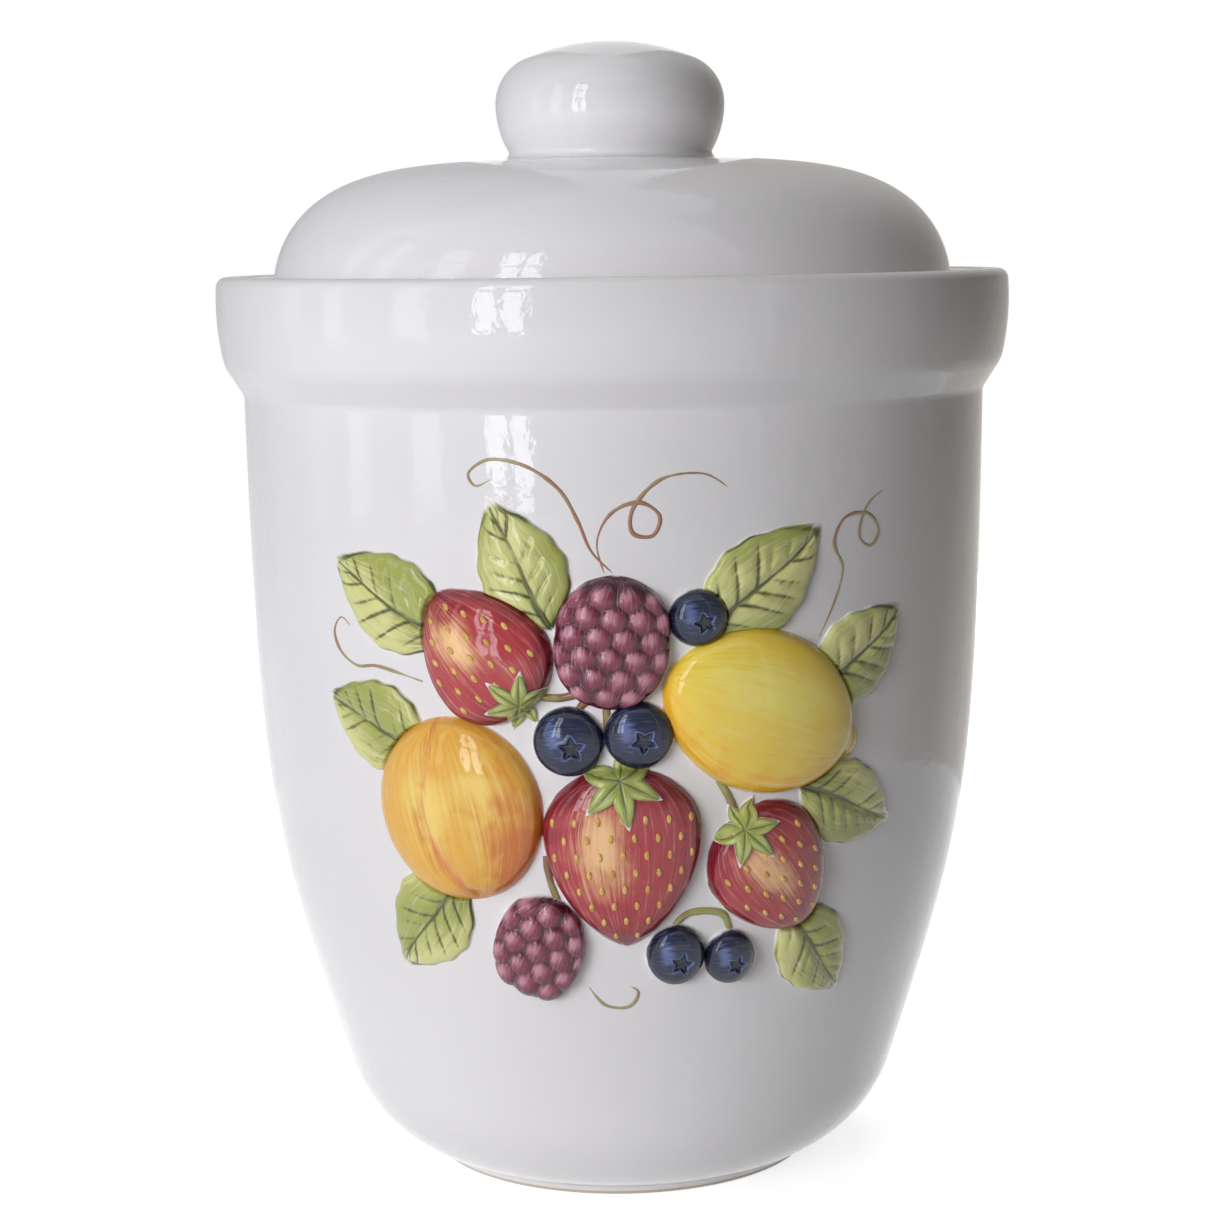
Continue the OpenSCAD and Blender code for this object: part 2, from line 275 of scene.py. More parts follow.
def white_glaze(name, bare_z, thin_z, thin_reach):
    """White glaze in thin and thick clouds with a few iron specks, thin and warm near one edge, and
    wiped off to the bare clay below a height. Heights are in millimetres."""
    material, tree, shader = glazed(name)
    place = object_place(tree)
    height = add(tree, "ShaderNodeSeparateXYZ", {"Vector": place})["Z"]
    thick = between(tree, noise(tree, place, scale=9.0), *noise_span)
    white = blend(tree, thick, glaze_thin, glaze_white)
    from_edge = math_node(tree, "ABSOLUTE", math_node(tree, "SUBTRACT", height, thin_z * mm))
    thin = between(tree, from_edge, 0.0, thin_reach * mm, thin_share, 0.0)
    white = blend(tree, thin, white, glaze_warm)
    cells = add(tree, "ShaderNodeTexVoronoi", {"Vector": place, "Scale": 70.0})
    chance = add(tree, "ShaderNodeSeparateColor", {"Color": cells["Color"]})["Red"]
    speck_r = between(tree, chance, speck_chance, 1.0, 0.0, speck_most)
    speck = math_node(tree, "LESS_THAN", cells["Distance"], speck_r)
    white = blend(tree, speck, white, iron_speck)
    bare = between(tree, height, (bare_z - bare_soft) * mm, (bare_z + bare_soft) * mm, 1.0, 0.0)
    fill(tree, shader, {"Base Color": blend(tree, bare, white, bare_clay)})
    return material


heel_z = heel_r * (1 + wall_normal(heel_r * heel_share)[1])
heel_out = wall_normal(heel_z)
heel_angle = degrees(atan2(-heel_out[1], heel_out[0]))
heel_c = (wall_r(heel_z) - heel_r * heel_out[0], heel_z - heel_r * heel_out[1])
foot_angle = -degrees(acos((foot_r - heel_c[0]) / heel_r))
bulge_c = (collar_r - bulge_r, pot_h - bulge_depth)
bulge_top = degrees(asin((bulge_depth - rim_round) / (bulge_r - rim_round)))
bulge_end = -degrees(asin((collar_h - lip_r - bulge_depth) / bulge_r))
rim_c = arc(bulge_c, bulge_r - rim_round, bulge_top, bulge_top, 1)[0]
lip_c = arc(bulge_c, bulge_r - lip_r, bulge_end, bulge_end, 1)[0]
ledge_in = wall_d / 2 - wall_t
wall_heights = np.linspace(heel_z, crease_z, 61)
inside = [(wall_r(z) - wall_t * wall_normal(z)[0], z - wall_t * wall_normal(z)[1])
          for z in wall_heights[::-1]]
floor_z = heel_c[1] - heel_r + wall_t
pot_outline = (
    [(0, foot_recess)]
    + arc((foot_in - foot_fillet, foot_recess - foot_fillet), foot_fillet, 90, 0, 5)
    + arc((foot_in + foot_round, foot_round), foot_round, 180, 270, 5)
    + arc((foot_r - foot_round, foot_round), foot_round, -90, 0, 5)
    + arc(heel_c, heel_r, foot_angle + 1, -heel_angle, 30)[1:]
    + [(wall_r(z), z) for z in wall_heights[1:]]
    + arc((wall_d / 2 + crease_r, crease_z), crease_r, 180, 180 - lip_turn, 8)[1:]
    + arc(lip_c, lip_r, -lip_turn, bulge_end, 12)
    + arc(bulge_c, bulge_r, bulge_end, bulge_top, 18)[1:]
    + arc(rim_c, rim_round, bulge_top, 90, 10)[1:]
    + arc((collar_in + rim_round, pot_h - rim_round), rim_round, 90, 180, 10)
    + arc((collar_in - ledge_round, ledge_z + ledge_round), ledge_round, 0, -90, 6)
    + arc((ledge_in + ledge_round, ledge_z - ledge_round), ledge_round, 90, 180, 6)
    + inside[1:]
    + arc(heel_c, heel_r - wall_t, -heel_angle, -90, 24)[1:]
    + [(heel_c[0] / 2, floor_z), (0, floor_z)]
)
pot_glaze = white_glaze("pot_glaze", foot_bare, pot_h, rim_thin)
turned("pot", pot_outline, "pot", "pot_body", pot_glaze)

# Lid
# A slip-cast dome with an upright side and a flat flange that rests on the ledge inside the collar.
# White glaze all over, wiped off under the flange so that it doesn't stick to the pot in the kiln.
lid_gap = 1.8
flange_t = 5.5
flange_round = 0.8
flange_w = 4.8
flange_fillet = 2
flange_bare = 0.5
flange_thin = 0.8
dome_h = 31.5
dome_spring = 4
dome_square = 4.7
lid_t = 6
hole_r = 11
crown_r = 27.76
flange_r = collar_in - lid_gap
flange_top = ledge_z + flange_t
dome_r = flange_r - flange_w
spring_z = pot_h - dome_spring


def dome(reach, rise, last_r, steps):
    """The dome's outline from its upright side in to a radius, square in the shoulder."""
    last = acos((last_r / reach) ** (dome_square / 2))
    angles = np.linspace(0, last, steps + 1)
    return [(reach * cos(a) ** (2 / dome_square), spring_z + rise * sin(a)) for a in angles]


crown = dome(dome_r, dome_h, crown_r, 64)
crown_z = crown[-1][1]
lid_outline = (
    arc((dome_r - lid_t + flange_round, ledge_z + flange_round), flange_round, 180, 270, 5)
    + arc((flange_r - flange_round, ledge_z + flange_round), flange_round, -90, 0, 5)
    + arc((flange_r - flange_round, flange_top - flange_round), flange_round, 0, 90, 5)
    + arc((dome_r + flange_fillet, flange_top + flange_fillet), flange_fillet, 270, 180, 8)
    + crown
    + [(hole_r, crown_z)]
    + dome(dome_r - lid_t, dome_h - lid_t, hole_r, 48)[::-1]
)
lid_glaze = white_glaze("lid_glaze", ledge_z + flange_bare, flange_top, flange_thin)
turned("lid_dome", lid_outline, "lid", "lid", lid_glaze)

# Knob
# A flattened ball of clay cast with a core, luted to the crown with a fillet of slip. The core
# opens into the lid through a round drain hole. Same white glaze as the lid.
knob_r = 28.3
knob_h = 29
knob_belly = 13.8
knob_under_r = 23
knob_shoulder_r = 12
knob_fillet = 2.2
knob_t = 9
core_round = 4
under_c = knob_r - knob_under_r
neck_angle = -degrees(asin((knob_belly - knob_fillet) / knob_under_r))
neck_r = under_c + knob_under_r * cos(radians(neck_angle))
shoulder_c = knob_r - knob_shoulder_r
cap_drop = knob_h - knob_belly
cap_r = (shoulder_c**2 + cap_drop**2 - knob_shoulder_r**2) / (2 * (cap_drop - knob_shoulder_r))
cap_angle = 90 - degrees(asin(shoulder_c / (cap_r - knob_shoulder_r)))
core_top = knob_h - knob_t
core_turn = np.radians(np.linspace(90, 0, 9))
knob_outline = (
    [(hole_r, 0)]
    + arc((neck_r + knob_fillet, knob_fillet), knob_fillet, 270, 180, 8)
    + arc((under_c, knob_belly), knob_under_r, neck_angle, 0, 24)[1:]
    + arc((shoulder_c, knob_belly), knob_shoulder_r, 0, cap_angle, 28)[1:]
    + arc((0, knob_h - cap_r), cap_r, cap_angle, 90, 24)[1:]
    + [(hole_r * cos(a), core_top - core_round * (1 - sin(a))) for a in core_turn]
)
knob_outline = [(radius, crown_z + height) for radius, height in knob_outline]
turned("knob", knob_outline, "lid", "lid_knob", lid_glaze)

# Lemon
# A sprig of clay pressed in a mould and luted to the wall, like all the fruit. It is painted bright
# yellow in long strokes from end to end, golden in the shade, and the clear glaze fills its edge.
spray_z = 112
bead = 0.6
fruit_relief = 6.8
lemon_at = (34.5, 12.5)
lemon_size = (51, 36)
lemon_turn = radians(-22)
lemon_widest = 0.47
lemon_full = 0.58
nub_at = 0.92
nub_reach = 0.08
nub_half = 0.25
nub_soft = 5
lemon_lights = [(1, (-5, 5), (17, 7)), (0.35, (9, -6), (9, 4))]  # strength, middle, reach
lemon_ends = [(0.6, (1, 0), (0.12, 2)), (0.4, (0, 0), (0.1, 2))]
lemon_under = 0.2
lemon_shade = 0.8
lemon_tones = ((0.98, 0.84, 0.18), (0.95, 0.68, 0.07), (0.90, 0.46, 0.03))  # light, body, shade
paint_wave = 0.6
wash_span = (0.32, 0.68)
scrape_span = (0.6, 1.0)


def on_wall(across, up, off):
    """A place on the unrolled front, from the middle of the spray, standing off the wall."""
    z = spray_z + up
    out_r, out_z = wall_normal(z)
    reach = wall_r(z) + off * out_r
    turn = across / wall_r(spray_z)
    return np.stack([reach * np.sin(turn), -reach * np.cos(turn), z + off * out_z], axis=-1) * mm


def to_local(across, up, at, turn):
    """A place on the spray seen from a sprig's own middle, along its length and across it."""
    x, y = across - at[0], up - at[1]
    return x * cos(turn) + y * sin(turn), y * cos(turn) - x * sin(turn)


def to_spray(x, y, at, turn):
    """The other way round: a place on the spray from one seen from a sprig's own middle."""
    return at[0] + x * cos(turn) - y * sin(turn), at[1] + x * sin(turn) + y * cos(turn)


def hill(far, width):
    """1 at no distance, falling off softly over a width."""
    return np.exp(-((far / width) ** 2))


def swell(edge, v, power=0.75, fillet=0.24):
    """A domed height from 0 to 1 over an outline, with the glaze filling the corner at its rim."""
    e = edge * np.sqrt(np.maximum(1 - v * v, 0))
    return e**power * (1 - hill(e, fillet))


def sprig_height(at, size, turn, edge, crown):
    """The height off the wall at any place on the spray, nothing outside the sprig's outline."""
    def height(across, up):
        x, y = to_local(across, up, at, turn)
        u = np.clip(x / size[0] + 0.5, 1e-5, 1 - 1e-5)
        v = np.clip(y / (edge(u) * size[1] / 2), -1, 1)
        return np.where(np.abs(x) < size[0] / 2, crown(u, v), 0)
    return height


def loft(at, size, turn, edge, height, marks, rows=130, cols=80):
    """A sprig's points, faces and paint marks. It is lofted along its length, and its back is sunk
    a little in the wall. marks(u, v, x, y) gives the painter's light and shade from 0 to 1."""
    sink = 0.05
    back = -0.6
    least = 0.012
    u = (1 - np.cos(np.linspace(0, pi, rows + 1)[1:-1])) / 2
    v = -np.cos(np.linspace(0, pi, cols + 1))
    u, v = np.meshgrid(u, v, indexing="ij")
    x, y = (u - 0.5) * size[0], v * np.maximum(edge(u), least) * size[1] / 2
    across, up = to_spray(x, y, at, turn)
    front = on_wall(across, up, height(across, up) - sink)
    middle = cols // 2
    spine = on_wall(across[:, middle], up[:, middle], back)[:, None]
    ends = to_spray(np.array([-0.5, 0.5]) * size[0], 0, at, turn)
    points = np.concatenate([front, spine], axis=1).reshape(-1, 3)
    points = np.concatenate([points, on_wall(*ends, -sink)])
    ring, last = cols + 2, (cols + 2) * (rows - 2)
    stem, tip = last + ring, last + ring + 1
    faces = []
    for j in range(ring):
        k = (j + 1) % ring
        faces.append((stem, j, k))
        faces.append((last + j, tip, last + k))
        faces += [(a + j, a + ring + j, a + ring + k, a + k) for a in range(0, last, ring)]
    light, shade = marks(u, v, x, y)
    rim = (edge(u) ** 2) * (1 - v * v) * size[1] / 4
    def spread(values):
        row = np.concatenate([values, values[:, :1] * 0], axis=1).ravel()
        return np.concatenate([row, [0, 0]])
    strokes = np.stack([spread(x), spread(v * size[1] / 2), np.zeros(len(points))], axis=-1)
    return points, faces, {"light": spread(light), "shade": spread(shade), "rim": spread(rim)}, strokes


def moulded(name, lofts, material, node=None):
    """One piece on the pot from one or more lofts, with its paint marks kept on its points."""
    points, faces, start = [], [], 0
    for part in lofts:
        faces += [tuple(i + start for i in face) for face in part[1]]
        points.append(part[0])
        start += len(part[0])
    mesh = shaped(name, np.concatenate(points), faces, material)
    for mark in ("light", "shade", "rim"):
        values = np.concatenate([part[2][mark] for part in lofts])
        mesh.attributes.new(mark, "FLOAT", "POINT").data.foreach_set("value", values)
    strokes = np.concatenate([part[3] for part in lofts])
    mesh.attributes.new("strokes", "FLOAT_VECTOR", "POINT").data.foreach_set("vector", strokes.ravel())
    mesh.shade_smooth()
    piece = placed(name, mesh)
    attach(piece, "pot")
    if node:
        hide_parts(node)


# Underglaze paint: a body colour with the painter's light and shade brushed in, in long streaks along
# the way the painter drew and slower washes where the colour pooled. It is thin enough in places for
# the white to show, and stops unevenly at the rim of the sprig. Stroke places are in millimetres.
underglaze, paint_in, paint_out = node_group(
    "underglaze_paint",
    [("Color", tone) for tone in ("Pale", "Body", "Deep")]
    + [("Float", value) for value in ("Light", "Shade", "Rim", "Thin", "Length", "Width")]
    + [("Vector", "Place")],
    [("Color", "Color")],
)
stretch = add(underglaze, "ShaderNodeCombineXYZ",
              {"X": paint_in["Length"], "Y": paint_in["Width"], "Z": 1.0})["Vector"]
stretched = add(underglaze, "ShaderNodeVectorMath",
                {0: paint_in["Place"], 1: stretch}, operation="DIVIDE")["Vector"]
streak = noise(underglaze, stretched, scale=1.0, detail=4.0, Roughness=0.62, Distortion=0.25)
streak = between(underglaze, streak, *noise_span, step="LINEAR")
wash = noise(underglaze, paint_in["Place"], scale=0.16, Distortion=0.6)
wash = between(underglaze, wash, *wash_span, step="LINEAR")
stroke_shift = math_node(underglaze, "SUBTRACT", streak, 0.5)
wash_shift = math_node(underglaze, "SUBTRACT", wash, 0.5)


def worked(mark, by_streak, by_wash, span):
    """How far a paint mark covers, made uneven by the streaks and washes of the brush."""
    uneven = math_node(underglaze, "MULTIPLY_ADD", stroke_shift, by_streak, paint_in[mark])
    uneven = math_node(underglaze, "MULTIPLY_ADD", wash_shift, by_wash, uneven)
    return between(underglaze, uneven, *span)


light = worked("Light", by_streak=0.5, by_wash=-0.25, span=(0.05, 1.0))
shade = worked("Shade", by_streak=-0.55, by_wash=0.4, span=(0.1, 0.95))
painted = worked("Rim", by_streak=0.1, by_wash=0.25, span=(0.06, 0.28))
colour = blend(underglaze, light, paint_in["Body"], paint_in["Pale"])
colour = blend(underglaze, shade, colour, paint_in["Deep"])
scraped = between(underglaze, streak, *scrape_span)
scraped = math_node(underglaze, "MULTIPLY", scraped, paint_in["Thin"])
colour = blend(underglaze, scraped, colour, glaze_white)
colour = blend(underglaze, painted, glaze_white, colour)
fill(underglaze, paint_out, {"Color": colour})


def fruit_paint(name, tones, length, width, thin):
    """Paint in three tones under the clear glaze, brushed along the sprig's own stroke places."""
    material, tree, shader = glazed(name, paint_wave)
    values = {"Thin": thin, "Length": length, "Width": width}
    values["Place"] = add(tree, "ShaderNodeAttribute", attribute_name="strokes")["Vector"]
    for label, tone in zip(("Pale", "Body", "Deep"), tones):
        values[label] = (*tone, 1)
    for mark in ("light", "shade", "rim"):
        values[mark.title()] = add(tree, "ShaderNodeAttribute", attribute_name=mark)["Fac"]
    tint = add(tree, "ShaderNodeGroup", values, node_tree=underglaze)
    fill(tree, shader, {"Base Color": tint["Color"]})
    return material


def spot(x, y, centre, reach):
    """A soft round or long spot of paint, 1 in its middle."""
    return hill(x - centre[0], reach[0]) * hill(y - centre[1], reach[1])


def dabbed(x, y, dabs):
    """Several spots of paint added up: strength, middle and reach each."""
    return sum(strength * spot(x, y, middle, reach) for strength, middle, reach in dabs)


def grown(size):
    """A sprig's outline with the bead of glaze round it."""
    return size[0] + 2 * bead, size[1] + 2 * bead


def sprig(name, node, paint, at, size, turn, edge, crown, marks, rows=130, cols=80):
    """One fruit or berry on the wall with its bead of glaze. Gives back its height off the wall."""
    plan = (at, grown(size), turn, edge)
    height = sprig_height(*plan, crown)
    moulded(name, [loft(*plan, height, marks, rows, cols)], paint, node)
    return height


def lemon_edge(u):
    """Half width along the lemon: an oval drawn out into a nub at the tip."""
    oval = np.maximum(1 - ((u - lemon_widest) / lemon_widest) ** 2, 0) ** lemon_full
    nub = nub_half * np.sqrt(np.maximum(1 - ((u - nub_at) / nub_reach) ** 2, 0))
    return (oval**nub_soft + nub**nub_soft) ** (1 / nub_soft)


def lemon_crown(u, v):
    return fruit_relief * swell(lemon_edge(u), v)


def lemon_marks(u, v, x, y):
    under = np.clip(-v - lemon_under, 0, 1)
    return dabbed(x, y, lemon_lights), lemon_shade * under + dabbed(u, v, lemon_ends)


lemon_paint = fruit_paint("lemon_paint", lemon_tones, length=22, width=1.1, thin=0.12)
lemon_height = sprig("lemon_sprig", "lemon", lemon_paint, lemon_at, lemon_size, lemon_turn,
                     lemon_edge, lemon_crown, lemon_marks)

# Apricot
# A round sprig with the fruit's crease from stem to tip, painted golden with an orange blush that is
# also painted shade: along the crease, towards the edges and on the side away from the light.
apricot_at = (-37.5, -9)
apricot_size = (42, 40)
apricot_turn = radians(100)
crease_bow = 0.35
crease_w = 0.13
crease_depth = 0.2
apricot_lights = [(1, (2, 5), (11, 6)), (0.8, (4, -8), (11, 5))]
apricot_shades = [(0.9, (-11, -13), (15, 8))]
apricot_ends = [(0.5, (0, 0), (0.1, 2))]
stem_dent = [(0.5, (0.02, 0), (0.06, 0.5))]
# Orange blush that is also painted shade, in the crease and towards the edges.
crease_blush_and_shade = 0.5
rim_blush_and_shade = 0.4
rim_power = 6
apricot_tones = ((0.93, 0.66, 0.15), (0.82, 0.44, 0.06), (0.66, 0.19, 0.03))


def round_edge(u):
    return np.sqrt(np.maximum(1 - (2 * u - 1) ** 2, 0))


def crease(u, v):
    """1 in the crease from stem to tip, which bows to one side, and 0 away from it."""
    return hill(v - crease_bow * np.sin(pi * u), crease_w)


def apricot_crown(u, v):
    furrow = crease_depth * crease(u, v) * np.sin(pi * u) ** 0.5
    return fruit_relief * swell(round_edge(u), v) * (1 - furrow) * (1 - dabbed(u, v, stem_dent))


def apricot_marks(u, v, x, y):
    # The orange blush is also painted shade: in the crease, towards the edges and on the side away from the
    # light.
    blush_and_shade = crease_blush_and_shade * crease(u, v) + dabbed(x, y, apricot_shades) + dabbed(u, v, apricot_ends)
    return dabbed(x, y, apricot_lights), blush_and_shade + rim_blush_and_shade * np.abs(v) ** rim_power


apricot_paint = fruit_paint("apricot_paint", apricot_tones, length=18, width=1.0, thin=0.1)
apricot_height = sprig("apricot_sprig", "apricot", apricot_paint, apricot_at, apricot_size,
                       apricot_turn, round_edge, apricot_crown, apricot_marks)

# Strawberries
# Three sprigs moulded with their seed pits and their leafy caps in one. Crimson, darker round the
# rim, with a warm light brushed in the middle; each seed is touched in with ochre.
strawberry_at = [(1, -19.5), (37, -24.5), (-30.4, 27.6)]
strawberry_size = [(42, 35.5), (34, 28), (33, 28)]
strawberry_turn = np.radians((-88, -52, 132))
strawberry_tones = ((0.93, 0.58, 0.27), (0.47, 0.042, 0.055), (0.22, 0.010, 0.022))
seed_tones = ((0.62, 0.33, 0.06), (0.80, 0.52, 0.14))
sepal_tones = ((0.58, 0.61, 0.20), (0.32, 0.37, 0.08), (0.09, 0.13, 0.02))
strawberry_lit = (-0.13, 0.1)  # by the fruit's width
strawberry_lit_reach = (0.24, 0.15)  # by its length and its width
strawberry_light = 0.95
strawberry_rim = 0.8
strawberry_ends = [(0.5, (0, 0), (0.2, 3))]
strawberry_widest = 0.36
strawberry_full = 0.72
seed_step = 5.0
seed_row = 4.0
most_columns = 6
seed_bow = 0.06
seeds_from_cap = 1.5
seeds_from_tip = 2
seeds_from_rim = 1.6
pit_r = 2.0
pit_depth = 0.1
pit_least = 0.6
seed_size = (1.05, 0.6, 0.42)
cap_share = 0.2
cap_inset = 1.5
sepal_lift = 0.25
sepal_relief = 0.9
sepal_cover = 4
sepal_belly = 0.7
sepal_point = 0.9
sepal_fold = 0.3
sepal_fold_w = 0.18
sepal_lights = [(0.8, (0.45, 0.5), (0.3, 0.3))]
sepal_rib_w = 0.14
sepal_rib_fade = 0.4
sepal_rim = 0.7
sepal_rim_power = 8
sepal_angles = (8, 62, 112, 168, -46, -98)
sepal_sizes = ((11, 4.6), (10, 4.4), (9, 4.2), (7, 3.8), (10.5, 4.5), (9, 4.2))


def strawberry_edge(u):
    widest = strawberry_widest
    shoulder = np.sqrt(np.maximum(1 - (1 - u / widest) ** 2, 0))
    point = np.maximum(1 - ((u - widest) / (1 - widest)) ** 2, 0) ** strawberry_full
    return np.where(u < widest, shoulder, point)


def strawberry_crown(u, v):
    return fruit_relief * swell(strawberry_edge(u), v)


def staggered(size, edge, first, last, row_step, column_step, margin):
    """Places in staggered rows, along a fruit and across it, to within a margin of its edge."""
    places = []
    for row, x in enumerate(np.arange(first, last, row_step)):
        half = edge(np.array(x / size[0] + 0.5)) * size[1] / 2 - margin
        columns = np.arange(-most_columns, most_columns + 1) * column_step + row % 2 * column_step / 2
        places += [(x, y) for y in columns if abs(y) < half]
    return np.array(places)


def with_pits(height, at, turn, places):
    """The fruit's height with a pit pressed in at each seed."""
    def pitted(across, up):
        x, y = to_local(across, up, at, turn)
        pits = sum(spot(x, y, place, (pit_r, pit_r)) for place in places)
        whole = height(across, up)
        return whole - pit_depth * pits * (whole > pit_least)
    return pitted


def strawberry_marks(turn, size):
    """Light from the upper left of the pot, whichever way the fruit points."""
    lit = to_local(*np.multiply(strawberry_lit, size[1]), (0, 0), turn)
    reach = np.multiply(strawberry_lit_reach, size)
    def marks(u, v, x, y):
        rim = (1 - strawberry_edge(u) ** 2 * (1 - v * v)) ** 2
        shade = strawberry_rim * rim + dabbed(u, v, strawberry_ends)
        return strawberry_light * spot(x, y, lit, reach), shade
    return marks


def sepal_edge(u):
    return np.sin(pi * u**sepal_belly) ** sepal_point


def sepal_crown(u, v):
    ridge = 1 - sepal_fold * hill(v, sepal_fold_w)
    return sepal_lift + sepal_relief * swell(sepal_edge(u), v, power=0.5) * ridge


def sepal_marks(u, v, x, y):
    rib = hill(v, sepal_rib_w) * (1 - u) ** sepal_rib_fade
    return dabbed(u, np.abs(v), sepal_lights), rib + sepal_rim * v**sepal_rim_power


def grown_from(mesh, tree, name, values):
    """Runs a geometry tree over a mesh and keeps the result as a plain piece on the pot."""
    piece = placed(name, mesh)
    modifier = piece.modifiers.new(tree.name, "NODES")
    modifier.node_group = tree
    for socket in tree.interface.items_tree:
        if socket.in_out == "INPUT" and socket.name in values:
            modifier[socket.identifier] = values[socket.name]
    evaluated = piece.evaluated_get(bpy.context.evaluated_depsgraph_get())
    made = bpy.data.meshes.new_from_object(evaluated)
    piece.modifiers.remove(modifier)
    piece.data = made
    made.name = name
    bpy.data.meshes.remove(mesh)
    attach(piece, "pot")


def painted_shape(tree, shape, inputs, outputs):
    """Ends a geometry tree: the shape made real, smoothed and painted."""
    shape = add(tree, "GeometryNodeRealizeInstances", {"Geometry": shape})["Geometry"]
    shape = add(tree, "GeometryNodeSetShadeSmooth", {"Geometry": shape})["Geometry"]
    values = {"Geometry": shape, "Material": inputs["Paint"]}
    fill(tree, outputs, {"Geometry": add(tree, "GeometryNodeSetMaterial", values)["Geometry"]})


def brush_paint(name, tones, scale, detail=3.0, span=(0.38, 0.62)):
    """Paint that runs unevenly from one tone to another, under the clear glaze."""
    material, tree, shader = glazed(name, 0.0)
    load = between(tree, noise(tree, object_place(tree), scale, detail), *span)
    fill(tree, shader, {"Base Color": blend(tree, load, *tones)})
    return material


# A seed is a small flattened drop, laid along the fruit and facing out of its pit.
scatter, scatter_in, scatter_out = node_group(
    "seeds",
    [("Geometry", "Geometry"), ("Vector", "Seed Size"), ("Material", "Paint")],
    [("Geometry", "Geometry")],
    "Geometry",
)
drop = add(scatter, "GeometryNodeMeshIcoSphere", {"Radius": 1.0, "Subdivisions": 3})["Mesh"]
drop = add(scatter, "GeometryNodeTransform",
           {"Geometry": drop, "Scale": scatter_in["Seed Size"]})["Geometry"]
outward, lengthwise = (
    add(scatter, "GeometryNodeInputNamedAttribute", {"Name": label}, data_type="FLOAT_VECTOR")[0]
    for label in ("outward", "lengthwise")
)
facing = add(scatter, "FunctionNodeAlignRotationToVector", {"Vector": outward}, axis="Z")["Rotation"]
facing = add(scatter, "FunctionNodeAlignRotationToVector", {"Rotation": facing, "Vector": lengthwise},
             axis="X", pivot_axis="Z")["Rotation"]
seeds = add(scatter, "GeometryNodeInstanceOnPoints",
            {"Points": scatter_in["Geometry"], "Instance": drop, "Rotation": facing})["Instances"]
painted_shape(scatter, seeds, scatter_in, scatter_out)

strawberry_paint = fruit_paint("strawberry_paint", strawberry_tones, length=16, width=0.7, thin=0.16)
sepal_paint = fruit_paint("sepal_paint", sepal_tones, length=6, width=0.6, thin=0.15)
seed_paint = brush_paint("seed_paint", seed_tones, scale=900.0, detail=1.0, span=(0.35, 0.65))

strawberry_heights = []
for i, (at, size, turn) in enumerate(zip(strawberry_at, strawberry_size, strawberry_turn), start=1):
    plan = (at, grown(size), turn, strawberry_edge)
    first = (cap_share - 0.5) * size[0] + seeds_from_cap
    last = size[0] / 2 - seeds_from_tip
    places = staggered(size, strawberry_edge, first, last, seed_row, seed_step, seeds_from_rim)
    places[:, 0] += seed_bow * np.abs(places[:, 1])
    height = with_pits(sprig_height(*plan, strawberry_crown), at, turn, places)
    strawberry_heights.append(height)
    fruit = loft(*plan, height, strawberry_marks(turn, size), rows=190, cols=150)
    moulded(f"strawberry_sprig_{i}", [fruit], strawberry_paint, f"strawberry_{i}")

    def seat(across, up):
        return on_wall(across, up, height(across, up))

    ax, ay = to_spray(*places.T, at, turn)
    step = 0.4
    to_right = seat(ax + step, ay) - seat(ax - step, ay)
    to_top = seat(ax, ay + step) - seat(ax, ay - step)
    to_tip = seat(*to_spray(step, 0, (ax, ay), turn)) - seat(ax, ay)
    pits = bpy.data.meshes.new("pits")
    pits.from_pydata(seat(ax, ay), [], [])
    for label, vectors in (("outward", np.cross(to_right, to_top)), ("lengthwise", to_tip)):
        vectors = vectors / np.linalg.norm(vectors, axis=1, keepdims=True)
        pits.attributes.new(label, "FLOAT_VECTOR", "POINT").data.foreach_set("vector", vectors.ravel())
    grown_from(pits, scatter, f"strawberry_seeds_{i}",
               {"Seed Size": [s * mm for s in seed_size], "Paint": seed_paint})

    sepals = []
    share = size[0] / strawberry_size[0][0]
    inset = size[0] / 2 - cap_inset
    root = to_spray(-inset, 0, at, turn)
    for angle, (length, width) in zip(sepal_angles, sepal_sizes):
        way = turn + radians(angle)
        half = length * share / 2
        middle = to_spray(half, 0, root, way)
        sepal_plan = (middle, (length * share, width * share), way, sepal_edge)
        rise = sprig_height(*sepal_plan, sepal_crown)
        sepal = loft(*sepal_plan, lambda a, b, rise=rise: height(a, b) + rise(a, b), sepal_marks,
                     rows=40, cols=28)
        sepal[2]["rim"] *= sepal_cover
        sepals.append(sepal)
    moulded(f"strawberry_cap_{i}", sepals, sepal_paint)

# Brambles
# Two sprigs moulded as heaps of drupelets in staggered rows. Plum, with a pink light dabbed on the
# upper left of each drupelet and the dark left in between.
bramble_at = [(-19.7, -41), (-1, 30)]
bramble_size = [(25, 21), (29, 24.4)]
bramble_turn = np.radians((-112, 84))
bramble_relief = 5.6
drupelet = 5.6
drupelet_row = 4.4
first_row = 2.6
drupelet_over = 0.8
ball_r = 0.66 * drupelet
body_share = 0.62
ball_share = 0.4
ball_rise = 3
berry_square = 2.4
dab_at = (-0.9, 1.0)
dab_r = 1.7
dab_light = 0.9
gap_from = 0.5
gap_over = 0.6
gap_dark = 0.9
bramble_tones = ((0.56, 0.25, 0.32), (0.23, 0.030, 0.072), (0.075, 0.007, 0.024))


def berry_edge(u):
    return np.sqrt(np.maximum(1 - np.abs(2 * u - 1) ** berry_square, 0))


def nearest(x, y, places):
    """The way from the nearest drupelet's middle to a place."""
    dx = x[..., None] - places[:, 0]
    dy = y[..., None] - places[:, 1]
    pick = np.argmin(dx**2 + dy**2, axis=-1)[..., None]
    return np.take_along_axis(dx, pick, -1)[..., 0], np.take_along_axis(dy, pick, -1)[..., 0]


